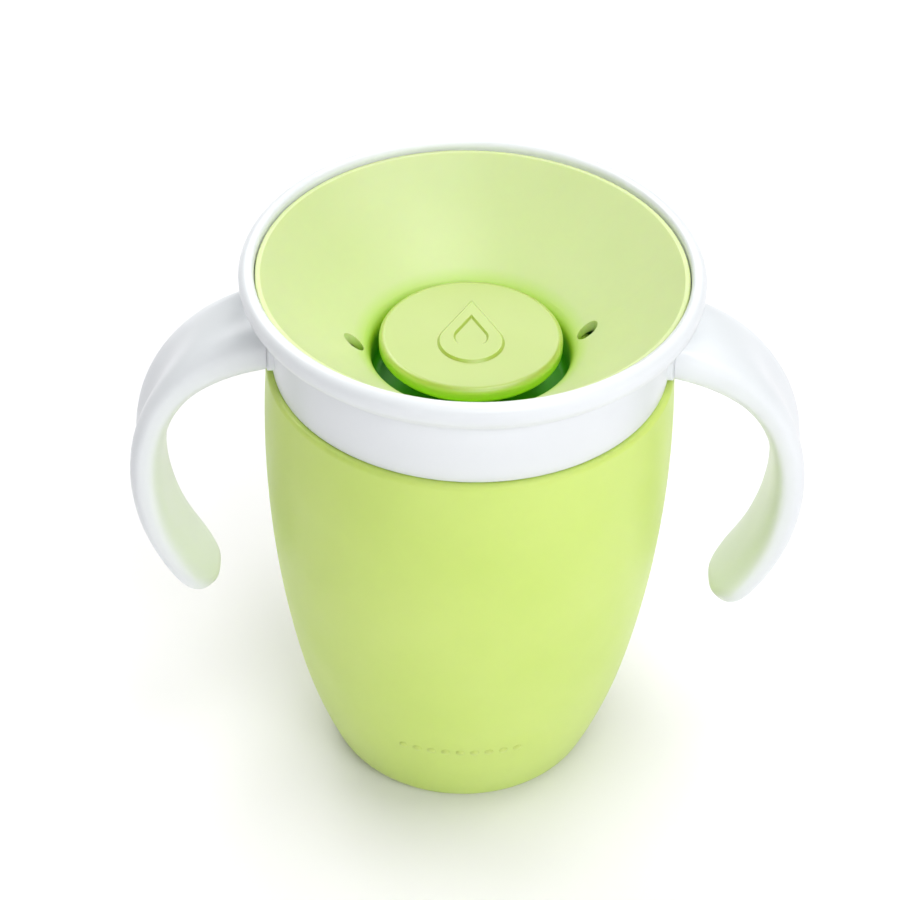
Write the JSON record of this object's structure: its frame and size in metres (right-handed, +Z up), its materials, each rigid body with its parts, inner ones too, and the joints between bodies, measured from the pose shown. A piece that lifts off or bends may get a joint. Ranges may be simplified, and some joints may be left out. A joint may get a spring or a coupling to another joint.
{
  "type": "sippy cup",
  "caption": "Spoutless training cup with a screw lid, rolled drinking rim, funnel-shaped seal valve with a lift-out knob, and a grab handle on each side.",
  "frame": {"origin": "centre of the base, on the surface the cup stands on", "axes": "+Z up along the cup's axis; +X towards the right-hand handle; +Y away from the viewer of the front, where the row of raised dots is on the -Y side"},
  "size_m": [0.1228, 0.082, 0.1076],
  "materials": {
    "cup_green": "satin moulded polypropylene, lime green",
    "lid_white": "semi-gloss moulded polypropylene, white",
    "handle_white": "semi-gloss moulded polypropylene, white",
    "valve_green": "soft translucent silicone, pale lime green",
    "knob_green": "satin moulded plastic, lime green",
    "seal_clear": "soft milky silicone"
  },
  "bodies": {
    "cup": {"cup_body": "cup_green"},
    "lid_seal": {"lid_gasket": "seal_clear"},
    "lid": {"lid_collar": "lid_white", "handle_left": "handle_white", "handle_right": "handle_white"},
    "valve": {"valve_funnel": "valve_green"},
    "knob": {"valve_knob": "knob_green"}
  },
  "joints": [
    {"name": "lid_rise", "type": "slide", "parent": "cup", "child": "lid_seal", "axis": [0, 0, 1], "range_m": [0, 0.0201]},
    {"name": "lid_turn", "type": "hinge", "parent": "lid_seal", "child": "lid", "pos_m": [0, 0, 0.09], "axis": [0, 0, 1], "range_deg": [0, 1200]},
    {"name": "valve_lift", "type": "slide", "parent": "lid", "child": "valve", "axis": [0, 0, 1], "range_m": [0, 0.03]},
    {"name": "knob_pull", "type": "slide", "parent": "valve", "child": "knob", "axis": [0, 0, 1], "range_m": [0, 0.02]}
  ],
  "couplings": [
    {"joint": "lid_rise", "follows": "lid_turn", "m_per_rad": 0.00095493}
  ]
}
